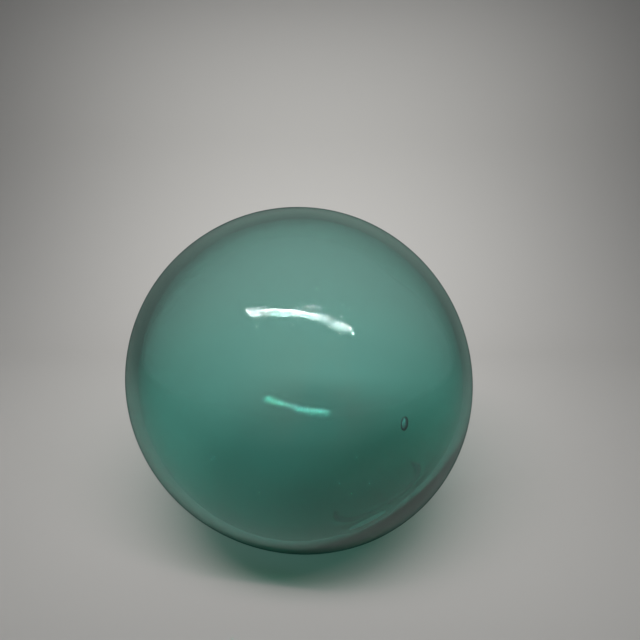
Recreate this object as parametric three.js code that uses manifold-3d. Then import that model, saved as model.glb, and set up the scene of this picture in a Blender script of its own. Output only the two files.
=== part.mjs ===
// A blown glass float ball, the kind that fishing nets hang from. It is a sealed hollow ball, so it is
// one solid here: the ball, the seal button that is melted over the blowpipe's hole, and a small flat spot
// that keeps it from rolling.
import * as THREE from "three";
import { mergeVertices } from "three/addons/utils/BufferGeometryUtils.js";
import Module from "manifold-3d";

const wasm = await Module();
wasm.setup();

// Millimetres, with +Z up. The flat spot's centre is the origin, and -Y is the side that is seen first.
const BALL_RADIUS = 47;
const REST_FLAT_RADIUS = 7;

// Blown and turned by hand, the ball is a little long one way and fuller at one end of that length.
const LONG_WAY = new THREE.Vector3(0.78, -0.2, -0.59).normalize();
const FULL_WAY = new THREE.Vector3(0.68, -0.25, -0.7).normalize();
const OVAL_SHARE = 0.0174;
const PEAR_SHARE = 0.0074;

// The seal button lies under the ball, to the right of the flat spot. Its edge isn't quite round, and it
// is a little thicker on its far side, where the iron was pulled away.
const SEAL_WAY = new THREE.Vector3(0.535, -0.16, -0.83).normalize();
const SEAL_ACROSS = new THREE.Vector3(1, 0, 0).projectOnPlane(SEAL_WAY).normalize();
const SEAL_ALONG = new THREE.Vector3().crossVectors(SEAL_WAY, SEAL_ACROSS);
const SEAL_RADIUS = 14;
const SEAL_RISE = 0.9;
const SEAL_LEAN = 0.25;
const SEAL_RIM_WIDTH = 3.5;
const SEAL_LOBES = [
  { count: 2, share: 0.045, turn: 0.6 },
  { count: 3, share: 0.03, turn: 2.1 },
  { count: 5, share: 0.015, turn: 4.0 },
];
const GROOVE_WIDTH = 3;
const GROOVE_DEPTH = 0.35;

// Rings of facets round the seal's axis, closer together where the button's rim curves.
const SEGMENTS = 80;
const CROWN_RINGS = 4;
const RIM_RINGS = 12;
const BODY_RINGS = 34;
const SEAL_EDGE_SLACK = 1;

const GLASS = new THREE.MeshStandardMaterial({ color: 0x3f9484, roughness: 0.1, metalness: 0 });

// How far the glass stands off the plain ball, along a unit vector from the ball's centre.
function sealRise(way) {
  const distance = BALL_RADIUS * way.angleTo(SEAL_WAY);
  const turn = Math.atan2(way.dot(SEAL_ALONG), way.dot(SEAL_ACROSS));
  const edge = SEAL_LOBES.reduce(
    (radius, lobe) => radius + SEAL_RADIUS * lobe.share * Math.cos(lobe.count * turn - lobe.turn),
    SEAL_RADIUS,
  );
  const inside = THREE.MathUtils.clamp((edge - distance) / SEAL_RIM_WIDTH, 0, 1);
  const height = SEAL_RISE + (SEAL_LEAN * Math.sin(turn) * distance) / SEAL_RADIUS;
  const button = height * Math.sqrt(1 - (1 - inside) ** 2);
  const across = THREE.MathUtils.clamp((distance - edge) / GROOVE_WIDTH, 0, 1);
  const groove = GROOVE_DEPTH * Math.sin(Math.PI * across) ** 2;
  return button - groove;
}

// The distance from the ball's centre to its surface, along a unit vector.
function surfaceRadius(way) {
  const long = way.dot(LONG_WAY);
  const full = way.dot(FULL_WAY);
  const oval = (OVAL_SHARE * (3 * long ** 2 - 1)) / 2;
  const pear = (PEAR_SHARE * (5 * full ** 3 - 3 * full)) / 2;
  return BALL_RADIUS * (1 + oval + pear) + sealRise(way);
}

// The angles from the seal's axis at which the rings of facets lie, from pi down to 0.
function ringAngles() {
  const rimStart = (SEAL_RADIUS - SEAL_RIM_WIDTH - SEAL_EDGE_SLACK) / BALL_RADIUS;
  const rimEnd = (SEAL_RADIUS + GROOVE_WIDTH + SEAL_EDGE_SLACK) / BALL_RADIUS;
  const angles = [];
  for (let i = 0; i < CROWN_RINGS; i += 1) {
    angles.push((rimStart * i) / CROWN_RINGS);
  }
  for (let i = 0; i < RIM_RINGS; i += 1) {
    angles.push(rimStart + ((rimEnd - rimStart) * i) / RIM_RINGS);
  }
  for (let i = 0; i <= BODY_RINGS; i += 1) {
    angles.push(rimEnd + ((Math.PI - rimEnd) * i) / BODY_RINGS);
  }
  return angles.reverse();
}

// A unit ball lathed round +Y, turned so that +Y is the seal's axis, with each point moved to the surface.
function ballGeometry() {
  const profile = ringAngles().map((a) => new THREE.Vector2(Math.abs(Math.sin(a)), Math.cos(a)));
  profile[0].x = 0;
  const lathed = new THREE.LatheGeometry(profile, SEGMENTS);
  const turn = new THREE.Quaternion().setFromUnitVectors(new THREE.Vector3(0, 1, 0), SEAL_WAY);
  lathed.applyQuaternion(turn);
  const points = lathed.getAttribute("position");
  const way = new THREE.Vector3();
  for (let i = 0; i < points.count; i += 1) {
    way.fromBufferAttribute(points, i).normalize();
    way.multiplyScalar(surfaceRadius(way));
    points.setXYZ(i, way.x, way.y, way.z);
  }
  return lathed;
}

function toSolid(geometry) {
  const bare = geometry.clone();
  bare.deleteAttribute("normal");
  bare.deleteAttribute("uv");
  const merged = mergeVertices(bare, 1e-3);
  return new wasm.Manifold(
    new wasm.Mesh({
      numProp: 3,
      vertProperties: merged.getAttribute("position").array,
      triVerts: new Uint32Array(merged.index.array),
    }),
  );
}

function toGeometry(solid) {
  const mesh = solid.getMesh();
  const geometry = new THREE.BufferGeometry();
  geometry.setAttribute("position", new THREE.BufferAttribute(mesh.vertProperties, 3));
  geometry.setIndex(new THREE.BufferAttribute(mesh.triVerts, 1));
  return geometry;
}

// The ball set down on its flat spot: what would be below the ground is cut off, and the cut's centre is
// moved to the origin.
function restedBall() {
  const ball = ballGeometry();
  const flatDepth = BALL_RADIUS - Math.sqrt(BALL_RADIUS ** 2 - REST_FLAT_RADIUS ** 2);
  ball.computeBoundingBox();
  ball.translate(0, 0, -ball.boundingBox.min.z - flatDepth);
  const ground = new THREE.BoxGeometry(4 * BALL_RADIUS, 4 * BALL_RADIUS, BALL_RADIUS);
  ground.translate(0, 0, -BALL_RADIUS / 2);
  const rested = toGeometry(toSolid(ball).subtract(toSolid(ground)));
  const flat = flatCentre(rested);
  rested.translate(-flat.x, -flat.y, 0);
  return rested;
}

// The middle of the cut face, from the points that lie on the ground.
function flatCentre(geometry) {
  const points = geometry.getAttribute("position");
  const flat = new THREE.Box2();
  for (let i = 0; i < points.count; i += 1) {
    if (Math.abs(points.getZ(i)) < 1e-3) {
      flat.expandByPoint(new THREE.Vector2(points.getX(i), points.getY(i)));
    }
  }
  return flat.getCenter(new THREE.Vector2());
}

const floatBall = new THREE.Mesh(restedBall(), GLASS);
floatBall.name = "float_ball";

const model = new THREE.Group();
model.add(floatBall);

export default model;
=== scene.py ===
import math

import bpy
import numpy as np
from mathutils import Matrix, Vector


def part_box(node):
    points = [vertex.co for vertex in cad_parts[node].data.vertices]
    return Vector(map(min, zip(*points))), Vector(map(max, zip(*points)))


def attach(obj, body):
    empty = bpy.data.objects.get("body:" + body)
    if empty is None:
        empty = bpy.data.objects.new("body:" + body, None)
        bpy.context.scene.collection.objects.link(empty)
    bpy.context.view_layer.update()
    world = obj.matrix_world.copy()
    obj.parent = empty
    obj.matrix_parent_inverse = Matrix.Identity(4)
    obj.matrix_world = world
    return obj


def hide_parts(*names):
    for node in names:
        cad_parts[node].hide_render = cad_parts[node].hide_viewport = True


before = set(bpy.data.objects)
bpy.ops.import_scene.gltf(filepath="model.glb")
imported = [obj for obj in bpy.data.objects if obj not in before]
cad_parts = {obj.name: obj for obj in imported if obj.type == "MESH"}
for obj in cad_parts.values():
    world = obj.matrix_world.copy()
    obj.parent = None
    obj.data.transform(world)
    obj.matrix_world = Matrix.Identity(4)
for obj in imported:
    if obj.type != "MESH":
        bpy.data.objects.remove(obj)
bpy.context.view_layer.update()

# The glass float ball as it looks: a hollow ball of thick blue-green glass with its seal button, pits and
# creases, weathered outside and clean inside, on a pale sweep under a strip of small lamps. Lengths are in
# metres, angles in radians unless a name says degrees, and a "way" is a unit vector from the ball's centre.

MM = 0.001


def unit(x, y, z):
    vector = np.array([x, y, z], float)
    return vector / np.linalg.norm(vector)


def square_to(way, heading):
    """The way nearest to heading among those square to way."""
    return unit(*(heading - way * (heading @ way)))


# The ball's own sizes, the same as the solid's.
BALL_RADIUS = 47 * MM
LONG_WAY = unit(0.78, -0.2, -0.59)
FULL_WAY = unit(0.68, -0.25, -0.7)
OVAL_SHARE = 0.0174
PEAR_SHARE = 0.0074
SEAL_WAY = unit(0.535, -0.16, -0.83)
SEAL_ACROSS = square_to(SEAL_WAY, np.array([1, 0, 0]))
SEAL_ALONG = np.cross(SEAL_WAY, SEAL_ACROSS)
SEAL_RADIUS = 14 * MM
SEAL_RISE = 0.9 * MM
SEAL_LEAN = 0.25 * MM
SEAL_RIM_WIDTH = 3.5 * MM
SEAL_LOBES = ((2, 0.045, 0.6), (3, 0.03, 2.1), (5, 0.015, 4.0))  # count, share of the radius, turn
GROOVE_WIDTH = 3 * MM
GROOVE_DEPTH = 0.35 * MM

# What only this script makes. The wall is thickest at the seal, where the glass ran together. The waves are
# counts and heights of unevenness, with low and high in radians per ball radius.
WALL = 3.0 * MM
WALL_LEAN = np.array([-0.2, -0.5, 0.4]) * MM
SEAL_THICKENING = 6 * MM
SEAL_THICKENING_ANGLE = math.radians(24)
REST_SOFTNESS = 0.15 * MM
REST_REACH = 2 * MM
SKIN_WAVES = {"count": 14, "low": 10, "high": 24, "height": 0.002 * MM, "seed": 5}
WALL_WAVES = {"count": 10, "low": 3, "high": 7, "height": 0.008 * MM, "seed": 8}
SEAL_WAVES = {"count": 24, "low": 40, "high": 110, "height": 0.02 * MM, "seed": 3}
SEAL_WAVES_ANGLE = math.radians(27)
FOLD_WAY = unit(0.34, -0.85, -0.40)
FOLD_HEADING = unit(0.9, 0.1, 0.42)
FOLD_LENGTH, FOLD_WIDTH, FOLD_RISE = 4.6 * MM, 1.3 * MM, 0.1 * MM
BUBBLE_WAY = unit(0.495, -0.86, 0.10)
BUBBLE_HEADING = unit(0.12, 0.1, 1)
BUBBLE_LENGTH, BUBBLE_WIDTH, BUBBLE_DEPTH = 1.55 * MM, 0.95 * MM, 1.4 * MM
OUTER_RINGS, OUTER_SEGMENTS = 260, 260
INNER_RINGS, INNER_SEGMENTS = 120, 120
BUBBLE_RINGS, BUBBLE_SEGMENTS = 14, 24

# Wear and colour over the ball. The dark specks are real pitting, densest round GRAIN_WAY; they lie in a
# band square to RIM_SHADE_BELT_WAY, the rim as seen from the front, and there they are also painted shade
# for pits that darken at a glancing view.
GRAIN_WAY = unit(-0.65, -0.08, 0.74)
RIM_SHADE_BELT_WAY = unit(0.04, -0.93, 0.36)
RIM_SHADE_BELT_ANGLE, RIM_SHADE_BELT_SPREAD = math.radians(76), math.radians(15)
CLOUD_WAY = unit(0.1, -0.93, 0.36)
DEEP_ANGLE = math.radians(46)


# ---------------------------------------------------------------- the ball's surface


def smooth(x):
    x = np.clip(x, 0, 1)
    return x * x * (3 - 2 * x)


def angle_from(ways, way):
    return np.arccos(np.clip(ways @ way, -1, 1))


def seal_rise(ways):
    """How far the seal button and the groove round it stand off the plain ball."""
    distance = BALL_RADIUS * angle_from(ways, SEAL_WAY)
    turn = np.arctan2(ways @ SEAL_ALONG, ways @ SEAL_ACROSS)
    edge = SEAL_RADIUS * (1 + sum(share * np.cos(count * turn - at) for count, share, at in SEAL_LOBES))
    inside = np.clip((edge - distance) / SEAL_RIM_WIDTH, 0, 1)
    height = SEAL_RISE + SEAL_LEAN * np.sin(turn) * distance / SEAL_RADIUS
    button = height * np.sqrt(1 - (1 - inside) ** 2)
    across = np.clip((distance - edge) / GROOVE_WIDTH, 0, 1)
    return button - GROOVE_DEPTH * np.sin(math.pi * across) ** 2


def plain_radius(ways):
    """The ball without its seal button."""
    along = ways @ LONG_WAY
    full = ways @ FULL_WAY
    oval = OVAL_SHARE * (3 * along**2 - 1) / 2
    pear = PEAR_SHARE * (5 * full**3 - 3 * full) / 2
    return BALL_RADIUS * (1 + oval + pear)


def waves(ways, count, low, high, height, seed):
    """A seeded unevenness: a few plane waves through the ball, low to high radians per ball radius."""
    random = np.random.default_rng(seed)
    total = np.zeros(len(ways))
    for _ in range(count):
        wave = random.normal(size=3)
        wave *= random.uniform(low, high) / np.linalg.norm(wave)
        total += np.sin(ways @ wave + random.uniform(0, 2 * math.pi))
    return height * total / math.sqrt(count / 2)


def along_and_across(ways, way, heading):
    """How far each point lies from a mark's middle along its length and across it."""
    along = square_to(way, heading)
    near = np.where(ways @ way > 0, 1, np.inf)
    return BALL_RADIUS * near * (ways @ along), BALL_RADIUS * near * (ways @ np.cross(way, along))


def fold_rise(ways):
    """A lens-shaped fold in the skin, low on the near side."""
    along, across = along_and_across(ways, FOLD_WAY, FOLD_HEADING)
    return FOLD_RISE * np.exp(-((along / FOLD_LENGTH) ** 4) - (across / FOLD_WIDTH) ** 2)


def outer_radius(ways):
    near_seal = 1 - smooth(angle_from(ways, SEAL_WAY) / SEAL_WAVES_ANGLE - 0.5)
    relief = waves(ways, **SKIN_WAVES) + near_seal * waves(ways, **SEAL_WAVES) + fold_rise(ways)
    return plain_radius(ways) + seal_rise(ways) + relief


def inner_radius(ways):
    thick = SEAL_THICKENING * np.exp(-((angle_from(ways, SEAL_WAY) / SEAL_THICKENING_ANGLE) ** 2))
    return plain_radius(ways) - WALL - ways @ WALL_LEAN - thick + waves(ways, **WALL_WAVES)


# ---------------------------------------------------------------- meshes


def ball_grid(rings, segments):
    """Ways on rings round the seal's axis with a single point at each end, and the faces that join them."""
    angles = np.linspace(0, math.pi, rings + 1)[1:-1]
    turns = np.linspace(0, 2 * math.pi, segments, endpoint=False)
    axis, across, along = SEAL_WAY, SEAL_ACROSS, SEAL_ALONG
    flat = np.cos(turns)[:, None] * across + np.sin(turns)[:, None] * along
    body = np.cos(angles)[:, None, None] * axis + np.sin(angles)[:, None, None] * flat
    ways = np.vstack([axis, body.reshape(-1, 3), -axis])
    faces = []
    last = len(ways) - 1
    for j in range(segments):
        k = (j + 1) % segments
        faces.append((0, 1 + j, 1 + k))
        faces.append((last, last - segments + k, last - segments + j))
    for i in range(len(angles) - 1):
        start = 1 + i * segments
        for j in range(segments):
            k = (j + 1) % segments
            faces.append((start + j, start + segments + j, start + segments + k, start + k))
    return ways, faces


def centre_of_ball(points):
    """Where the ball's centre lies, from the solid's box. The flat spot cuts only the lowest point off."""
    low, high = points.min(axis=0), points.max(axis=0)
    box_low, box_high = np.array(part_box("float_ball")[0]), np.array(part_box("float_ball")[1])
    centre = (box_low + box_high - low - high) / 2
    centre[2] = box_high[2] - high[2]
    return centre


def add_mesh(name, points, faces):
    mesh = bpy.data.meshes.new(name)
    mesh.from_pydata([tuple(p) for p in points], [], faces)
    mesh.validate()
    mesh.polygons.foreach_set("use_smooth", [True] * len(mesh.polygons))
    piece = bpy.data.objects.new(name, mesh)
    bpy.context.scene.collection.objects.link(piece)
    return piece


def add_attribute(piece, name, values):
    attribute = piece.data.attributes.new(name, "FLOAT", "POINT")
    attribute.data.foreach_set("value", np.asarray(values, np.float32))


def rested(points):
    """The points with those below the ground moved up to it, with a soft edge to the flat."""
    height = points[:, 2]
    lifted = (height + np.sqrt(height**2 + REST_SOFTNESS**2)) / 2
    points[:, 2] = np.where(height < REST_REACH, lifted, height)
    return points


def bubble():
    """A seed of air in the wall: a small ellipsoid that faces into itself."""
    ways, faces = ball_grid(BUBBLE_RINGS, BUBBLE_SEGMENTS)
    along = square_to(BUBBLE_WAY, BUBBLE_HEADING)
    axes = np.array([BUBBLE_WAY, along, np.cross(BUBBLE_WAY, along)])
    sizes = np.array([BUBBLE_WIDTH, BUBBLE_LENGTH, BUBBLE_WIDTH])
    middle = BUBBLE_WAY * (plain_radius(BUBBLE_WAY[None])[0] - BUBBLE_DEPTH)
    return BALL_CENTRE + middle + ((ways @ axes.T) * sizes) @ axes, faces


outer_ways, outer_faces = ball_grid(OUTER_RINGS, OUTER_SEGMENTS)
outer_points = outer_ways * outer_radius(outer_ways)[:, None]
BALL_CENTRE = centre_of_ball(outer_points)
outer_points = rested(outer_points + BALL_CENTRE)

inner_ways, inner_faces = ball_grid(INNER_RINGS, INNER_SEGMENTS)
inner_points = inner_ways * inner_radius(inner_ways)[:, None] + BALL_CENTRE
bubble_points, bubble_faces = bubble()

points, faces = [outer_points], list(outer_faces)
shift = len(outer_points)
for hollow_points, hollow_faces in ((inner_points, inner_faces), (bubble_points, bubble_faces)):
    points.append(hollow_points)
    faces += [tuple(shift + v for v in reversed(face)) for face in hollow_faces]
    shift += len(hollow_points)
hollow_count = shift - len(outer_points)

glass_ball = add_mesh("float_ball_glass", np.vstack(points), faces)


def spread_from(way, full, none):
    """1 within the angle full of way, falling smoothly to 0 at the angle none, both in degrees."""
    degrees = np.degrees(angle_from(outer_ways, way))
    return 1 - smooth((degrees - full) / (none - full))


def add_wear():
    """The maps that the glass material reads. All but the deep green are 0 on the hollows."""
    # Painted shade: the specks are held to a band round the rim as seen from the front.
    rim_shade_belt = np.exp(-(((angle_from(outer_ways, RIM_SHADE_BELT_WAY) - RIM_SHADE_BELT_ANGLE) / RIM_SHADE_BELT_SPREAD) ** 2))
    maps = {
        "outside": np.ones(len(outer_ways)),
        "grain_and_rim_shade": rim_shade_belt * (0.6 * spread_from(GRAIN_WAY, 30, 75) + 0.4 * spread_from(GRAIN_WAY, 70, 125)),
        "worn": smooth((outer_ways[:, 2] + 0.3) / 0.8),
        # Painted light: whiter haze on the lit top, fading out over the shaded lower half.
        "haze_and_painted_light": smooth((outer_ways[:, 2] + 0.15) / 0.7),
        "cloud": spread_from(CLOUD_WAY, 4, 26),
    }
    for name, values in maps.items():
        add_attribute(glass_ball, name, np.append(values, np.zeros(hollow_count)))
    from_seal = angle_from(np.vstack([outer_ways, inner_ways]), SEAL_WAY)
    deep = np.exp(-((from_seal / DEEP_ANGLE) ** 3))
    add_attribute(glass_ball, "deep", np.append(deep, np.zeros(len(bubble_points))))


add_wear()


# ---------------------------------------------------------------- materials


class Nodes:
    """Adds nodes to a material's tree and links them by short names."""

    def __init__(self, name):
        self.material = bpy.data.materials.new(name)
        self.material.use_nodes = True
        self.tree = self.material.node_tree
        self.tree.nodes.clear()
        self.output = self.add("ShaderNodeOutputMaterial")

    def add(self, kind, **settings):
        node = self.tree.nodes.new(kind)
        for key, value in settings.items():
            setattr(node, key, value)
        return node

    def put(self, socket, value):
        """Links value to socket if it is another node's socket, and sets it as a number otherwise."""
        if isinstance(value, bpy.types.NodeSocket):
            self.tree.links.new(value, socket)
        else:
            socket.default_value = value

    def math(self, operation, a, b=0.0, clamp=False):
        node = self.add("ShaderNodeMath", operation=operation, use_clamp=clamp)
        self.put(node.inputs[0], a)
        self.put(node.inputs[1], b)
        return node.outputs[0]

    def noise(self, scale, detail=2.0, roughness=0.5):
        where = self.add("ShaderNodeTexCoord").outputs["Object"]
        node = self.add("ShaderNodeTexNoise")
        self.put(node.inputs["Vector"], where)
        node.inputs["Scale"].default_value = scale
        node.inputs["Detail"].default_value = detail
        node.inputs["Roughness"].default_value = roughness
        return node.outputs["Fac"]

    def attribute(self, name):
        return self.add("ShaderNodeAttribute", attribute_name=name).outputs["Fac"]

    def ramp(self, value, low, high, to_low=0.0, to_high=1.0):
        node = self.add("ShaderNodeMapRange", clamp=True, interpolation_type="SMOOTHSTEP")
        self.put(node.inputs["Value"], value)
        self.put(node.inputs["From Min"], low)
        self.put(node.inputs["From Max"], high)
        self.put(node.inputs["To Min"], to_low)
        self.put(node.inputs["To Max"], to_high)
        return node.outputs["Result"]

    def mix(self, share, a, b):
        node = self.add("ShaderNodeMix", data_type="RGBA")
        self.put(node.inputs["Factor"], share)
        self.put(node.inputs[6], a)
        self.put(node.inputs[7], b)
        return node.outputs[2]


GLASS_IOR = 1.52
GLASS_COLOUR = (0.0, 0.66, 0.50, 1)
GLASS_DENSITY = 110
GLASS_CLEARNESS = 0.94
GRAIN_SCALE, GRAIN_DETAIL, GRAIN_ROUGHNESS = 1000, 3.0, 0.7
GRAIN_BARE, GRAIN_DENSE = 0.78, 0.46  # how strong the noise is where grain shows: none and densest
GRAIN_MATT = 0.3
PIT_SCALE = 2600
PIT_MATT = 0.06
PIT_DEPTH = 0.006 * MM
CLOUD_SCALE = 70
# Of a lamp's light, the share that each surface lets through to what lies behind the ball.
LAMP_SHADE = (0.74, 0.80, 0.80, 1)
# Painted light: the outside is whiter on the lit top, greener below where shade falls; the inside is greener
# too.
HAZE_AND_LIT_TOP_COLOUR = (0.93, 0.89, 0.9, 1)
CLEAN_AND_SHADED_COLOUR = (0.55, 0.95, 0.92, 1)
CLOUD_COLOUR = (1.0, 0.88, 0.87, 1)
DEEP_COLOUR = (0.0, 0.5, 0.38, 1)
# Near black: real pitted specks, and painted shade where they are held to the rim.
GRAIN_AND_RIM_SHADE_COLOUR = (0.01, 0.015, 0.012, 1)
FILM_COLOUR = (0.88, 0.91, 0.905, 1)


def float_glass():
    n = Nodes("float_glass")
    outside = n.attribute("outside")
    cloud = n.math("MULTIPLY", n.attribute("cloud"), n.ramp(n.noise(CLOUD_SCALE, 3.0), 0.35, 0.6))
    # Dark specks: real pitting, held to a band round the rim as painted shade.
    edge = n.ramp(n.attribute("grain_and_rim_shade"), 0.0, 1.0, GRAIN_BARE, GRAIN_DENSE)
    mottle = n.noise(GRAIN_SCALE, GRAIN_DETAIL, GRAIN_ROUGHNESS)
    grain_and_rim_shade = n.ramp(n.math("SUBTRACT", mottle, edge), 0.0, 0.08)
    pits = n.math("MULTIPLY", n.attribute("worn"), n.ramp(n.noise(PIT_SCALE, 2.0), 0.52, 0.72))
    # Whiter haze on the lit top, greener glass below: real haze with painted light and shade.
    colour = n.mix(n.attribute("haze_and_painted_light"), CLEAN_AND_SHADED_COLOUR, HAZE_AND_LIT_TOP_COLOUR)
    colour = n.mix(cloud, colour, CLOUD_COLOUR)
    colour = n.mix(n.attribute("deep"), colour, DEEP_COLOUR)
    matt = n.math("ADD", n.math("MULTIPLY", pits, PIT_MATT), n.math("MULTIPLY", grain_and_rim_shade, GRAIN_MATT))
    bump = n.add("ShaderNodeBump")
    bump.inputs["Distance"].default_value = PIT_DEPTH
    n.put(bump.inputs["Strength"], outside)
    n.put(bump.inputs["Height"], pits)
    glass = n.add("ShaderNodeBsdfPrincipled")
    n.put(glass.inputs["Base Color"], n.mix(grain_and_rim_shade, colour, GRAIN_AND_RIM_SHADE_COLOUR))
    n.put(glass.inputs["Roughness"], matt)
    n.put(glass.inputs["Normal"], bump.outputs["Normal"])
    glass.inputs["IOR"].default_value = GLASS_IOR
    glass.inputs["Transmission Weight"].default_value = GLASS_CLEARNESS
    # A coat with an IOR of 1 mirrors nothing: it is a film that darkens the rim.
    n.put(glass.inputs["Coat Weight"], outside)
    glass.inputs["Coat IOR"].default_value = 1.0
    glass.inputs["Coat Tint"].default_value = FILM_COLOUR
    through = n.add("ShaderNodeBsdfTransparent")
    through.inputs["Color"].default_value = LAMP_SHADE
    lamp_ray = n.add("ShaderNodeLightPath").outputs["Is Shadow Ray"]
    surface = n.add("ShaderNodeMixShader")
    n.put(surface.inputs[0], lamp_ray)
    n.put(surface.inputs[1], glass.outputs[0])
    n.put(surface.inputs[2], through.outputs[0])
    n.put(n.output.inputs["Surface"], surface.outputs[0])
    tint = n.add("ShaderNodeVolumeAbsorption")
    tint.inputs["Color"].default_value = GLASS_COLOUR
    tint.inputs["Density"].default_value = GLASS_DENSITY
    n.put(n.output.inputs["Volume"], tint.outputs[0])
    return n.material


glass_ball.data.materials.append(float_glass())
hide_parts("float_ball")
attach(glass_ball, "root")


# ---------------------------------------------------------------- stage, lamps and camera

FLOOR_COLOUR = (0.60, 0.59, 0.565, 1)
FLOOR_MATT = 0.85
FLOOR_SHEEN = 0.2
SWEEP_START = 3.2 * BALL_RADIUS
SWEEP_RADIUS = 3.0 * BALL_RADIUS
SWEEP_HALF_WIDTH = 14 * BALL_RADIUS
SWEEP_FRONT = -12 * BALL_RADIUS
SWEEP_TOP = 14 * BALL_RADIUS
SWEEP_STEPS = 24
FLOOR_GAP = 0.05 * MM


def sweep():
    """A pale sheet that runs along the floor and curves up behind the ball."""
    profile = [(SWEEP_FRONT, 0.0), (SWEEP_START, 0.0)]
    for i in range(1, SWEEP_STEPS + 1):
        turn = math.pi / 2 * i / SWEEP_STEPS
        profile.append(
            (SWEEP_START + SWEEP_RADIUS * math.sin(turn), SWEEP_RADIUS * (1 - math.cos(turn)))
        )
    profile.append((SWEEP_START + SWEEP_RADIUS, SWEEP_TOP))
    points = [(side * SWEEP_HALF_WIDTH, y, z - FLOOR_GAP) for y, z in profile for side in (-1, 1)]
    faces = [(2 * i, 2 * i + 1, 2 * i + 3, 2 * i + 2) for i in range(len(profile) - 1)]
    sheet = add_mesh("pale_sweep", points, faces)
    n = Nodes("pale_sheet")
    paper = n.add("ShaderNodeBsdfPrincipled")
    paper.inputs["Base Color"].default_value = FLOOR_COLOUR
    paper.inputs["Roughness"].default_value = FLOOR_MATT
    paper.inputs["Specular IOR Level"].default_value = FLOOR_SHEEN
    n.put(n.output.inputs["Surface"], paper.outputs[0])
    sheet.data.materials.append(n.material)


# The lamps' places are from the ball's centre. A parabola joins the first, the middle and the last.
LAMP_COUNT = 26
LAMP_LEFT = Vector((-2.18, -2.71, 4.01)) * BALL_RADIUS
LAMP_MIDDLE = Vector((0.29, -3.14, 4.31)) * BALL_RADIUS
LAMP_RIGHT = Vector((2.73, -3.09, 3.35)) * BALL_RADIUS
LAMP_SIZE = 0.08 * BALL_RADIUS
LAMP_POWER = 0.004
LAMP_SPREAD = math.radians(95)
LAMP_AIM = Vector((0, 3.0, -1)) * BALL_RADIUS


def lamp_strip():
    """A slightly bowed row of small lamps above the front, aimed at the ball."""
    centre = Vector(BALL_CENTRE)
    for i in range(LAMP_COUNT):
        t = i / (LAMP_COUNT - 1)
        place = (
            LAMP_LEFT * (1 - t) * (1 - 2 * t) + LAMP_MIDDLE * 4 * t * (1 - t) + LAMP_RIGHT * t * (2 * t - 1)
        )
        lamp = bpy.data.lights.new(f"lamp_{i + 1:02d}", "AREA")
        lamp.shape = "DISK"
        lamp.size = LAMP_SIZE
        lamp.energy = LAMP_POWER
        lamp.spread = LAMP_SPREAD
        item = bpy.data.objects.new(lamp.name, lamp)
        item.location = centre + place
        item.rotation_euler = (LAMP_AIM - place).to_track_quat("-Z", "Y").to_euler()
        item.visible_camera = False
        bpy.context.scene.collection.objects.link(item)


# Places and aims are from the ball's centre, and like the sizes they are in ball radii. Powers are in watts.
SOFT_LIGHTS = (
    {
        "name": "key_light",
        "place": (-0.6, -2.5, 4.3),
        "aim": (0, 3.5, -1),
        "size": (5, 1),
        "power": 0.14,
        "spread": math.radians(95),
    },
    {
        "name": "back_light",
        "place": (0, 1.8, 5.5),
        "aim": (0, 6.2, -0.2),
        "size": (9, 1.5),
        "power": 0.17,
        "spread": math.radians(105),
    },
)


def soft_light(name, place, aim, size, power, spread):
    """An area light that lights the floor and the glass but isn't itself mirrored in them."""
    light = bpy.data.lights.new(name, "AREA")
    light.shape = "RECTANGLE"
    light.size, light.size_y = (side * BALL_RADIUS for side in size)
    light.energy = power
    light.spread = spread
    item = bpy.data.objects.new(name, light)
    place, aim = Vector(place) * BALL_RADIUS, Vector(aim) * BALL_RADIUS
    item.location = Vector(BALL_CENTRE) + place
    item.rotation_euler = (aim - place).to_track_quat("-Z", "Y").to_euler()
    item.visible_camera = False
    item.visible_glossy = False
    item.visible_transmission = False
    bpy.context.scene.collection.objects.link(item)


AMBIENT_COLOUR = (0.93, 0.95, 1.0, 1)
AMBIENT_STRENGTH = 0.15


def ambient():
    world = bpy.data.worlds.new("white_tent")
    world.use_nodes = True
    background = world.node_tree.nodes["Background"]
    background.inputs["Color"].default_value = AMBIENT_COLOUR
    background.inputs["Strength"].default_value = AMBIENT_STRENGTH
    bpy.context.scene.world = world


CAMERA_PITCH = math.radians(15)
CAMERA_LENS = 27
CAMERA_SENSOR = 36
CLIP_START = 0.01
BALL_IN_VIEW = Vector((-0.1136, 0.3331, 2.956)) * BALL_RADIUS  # right, down and ahead of the camera


def camera():
    ahead = Vector((0, math.cos(CAMERA_PITCH), -math.sin(CAMERA_PITCH)))
    right = Vector((1, 0, 0))
    down = ahead.cross(right)
    place = Vector(BALL_CENTRE)
    for way, distance in zip((right, down, ahead), BALL_IN_VIEW):
        place = place - way * distance
    data = bpy.data.cameras.new("camera")
    data.lens = CAMERA_LENS
    data.sensor_width = CAMERA_SENSOR
    data.clip_start = CLIP_START
    item = bpy.data.objects.new("camera", data)
    item.matrix_world = Matrix.Translation(place) @ ahead.to_track_quat("-Z", "Y").to_matrix().to_4x4()
    bpy.context.scene.collection.objects.link(item)
    bpy.context.scene.camera = item


def light_paths():
    """Enough bounces for light to cross both walls of the ball, with its mirrored lamps kept sharp."""
    cycles = bpy.context.scene.cycles
    cycles.max_bounces = 24
    cycles.transmission_bounces = 20
    cycles.glossy_bounces = 12
    cycles.transparent_max_bounces = 16
    cycles.sample_clamp_indirect = 0
    cycles.blur_glossy = 0
    cycles.caustics_refractive = False
    cycles.caustics_reflective = False


sweep()
lamp_strip()
for settings in SOFT_LIGHTS:
    soft_light(**settings)
ambient()
camera()

bpy.context.scene.view_settings.view_transform = "Standard"
light_paths()
